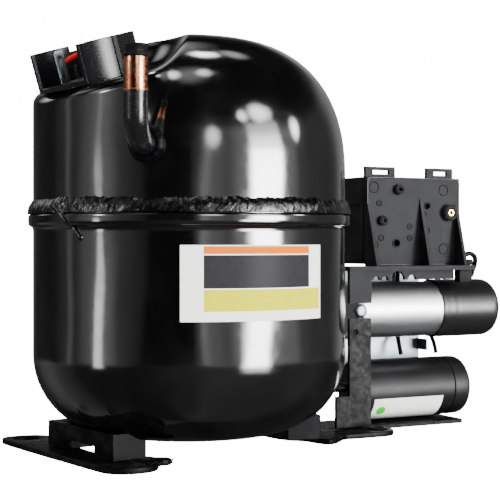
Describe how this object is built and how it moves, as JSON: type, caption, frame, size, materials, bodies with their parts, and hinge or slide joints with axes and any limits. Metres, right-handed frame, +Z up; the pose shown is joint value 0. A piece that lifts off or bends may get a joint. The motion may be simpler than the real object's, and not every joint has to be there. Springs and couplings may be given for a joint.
{
  "type": "hermetic reciprocating compressor",
  "caption": "Welded black refrigeration compressor with pump and motor inside, a sloped terminal facet, plugged copper tubes, stamped feet, and a relay box over two capacitors.",
  "frame": {"origin": "centre of the bounding box at the underside of the feet", "axes": "+X from the shell towards the relay box and capacitors, +Z up, the relay box's panel faces -Y"},
  "size_m": [0.3531, 0.21, 0.2512],
  "materials": {
    "black_enamel": "gloss black baked enamel",
    "black_steel": "satin black paint",
    "weld_metal": "painted weld bead",
    "black_plastic": "moulded satin",
    "grey_plastic": "moulded fine texture",
    "rubber": "matt",
    "copper": "bare drawn copper",
    "aluminium": "drawn and brushed",
    "zinc": "zinc plated",
    "cast_iron": "as cast",
    "steel": "machined",
    "red_plastic": "wire insulation",
    "white_plastic": "moulded"
  },
  "bodies": {
    "compressor": {"base_arm": "black_steel", "crankcase": "cast_iron", "cylinder_head": "cast_iron", "discharge_loop": "copper", "discharge_tube": "copper", "left_foot": "black_steel", "left_saddle": "black_steel", "leg_screw": "steel", "lower_shell": "black_enamel", "lower_winding": "copper", "overload_protector": "black_plastic", "protector_lead": "red_plastic", "relay_cover": "grey_plastic", "relay_panel": "grey_plastic", "right_foot": "black_steel", "right_saddle": "black_steel", "run_capacitor": "aluminium", "run_capacitor_sleeve": "black_plastic", "run_lead": "black_plastic", "seam_weld": "weld_metal", "spade_tab": "zinc", "start_capacitor": "black_plastic", "start_capacitor_cap": "black_plastic", "start_lead_1": "black_plastic", "start_lead_2": "black_plastic", "start_relay": "black_plastic", "stator_bolt_1": "steel", "stator_bolt_2": "steel", "stator_bolt_3": "steel", "stator_bolt_4": "steel", "stator_core": "steel", "suction_collar": "black_enamel", "suction_muffler": "white_plastic", "suction_tube": "copper", "suspension_spring_1": "steel", "suspension_spring_2": "steel", "suspension_spring_3": "steel", "suspension_spring_4": "steel", "terminal_fence": "black_plastic", "terminal_header": "steel", "terminal_pin_1": "steel", "terminal_pin_2": "steel", "terminal_pin_3": "steel", "upper_shell": "black_enamel", "upper_winding": "copper", "upright_bracket": "black_steel", "upright_strap": "black_steel", "valve_plate": "steel", "zinc_plate": "zinc"},
    "crank": {"crankshaft": "steel", "rotor": "aluminium", "oil_pickup": "steel"},
    "piston": {"piston": "steel", "wrist_pin": "steel"},
    "rod": {"connecting_rod": "steel", "crankpin": "steel"},
    "suction_flap": {"suction_reed": "steel"},
    "discharge_flap": {"discharge_reed": "steel"},
    "suction_cap": {"suction_plug": "rubber"},
    "discharge_cap": {"discharge_plug": "rubber"}
  },
  "joints": [
    {"name": "crank_spin", "type": "hinge", "parent": "compressor", "child": "crank", "pos_m": [-0.0715, -0.0066, 0.08], "axis": [0, 0, 1], "continuous": true},
    {"name": "piston_stroke", "type": "slide", "parent": "compressor", "child": "piston", "axis": [1, 0, 0], "range_m": [-0.022, 0]},
    {"name": "rod_swing", "type": "hinge", "parent": "piston", "child": "rod", "pos_m": [-0.0205, -0.0066, 0.17], "axis": [0, 0, 1], "range_deg": [-15.9, 15.9]},
    {"name": "suction_reed_flap", "type": "hinge", "parent": "compressor", "child": "suction_flap", "pos_m": [-0.0057, -0.0126, 0.159], "axis": [0, -1, 0], "range_deg": [0, 2], "stiffness_Nm_per_rad": 0.05},
    {"name": "discharge_reed_flap", "type": "hinge", "parent": "compressor", "child": "discharge_flap", "pos_m": [-0.0017, -0.0006, 0.159], "axis": [0, 1, 0], "range_deg": [0, 3], "stiffness_Nm_per_rad": 0.05},
    {"name": "suction_plug_pull", "type": "slide", "parent": "compressor", "child": "suction_cap", "axis": [0, 0, 1], "range_m": [0, 0.02]},
    {"name": "discharge_plug_pull", "type": "slide", "parent": "compressor", "child": "discharge_cap", "axis": [0, 0, 1], "range_m": [0, 0.02]}
  ]
}
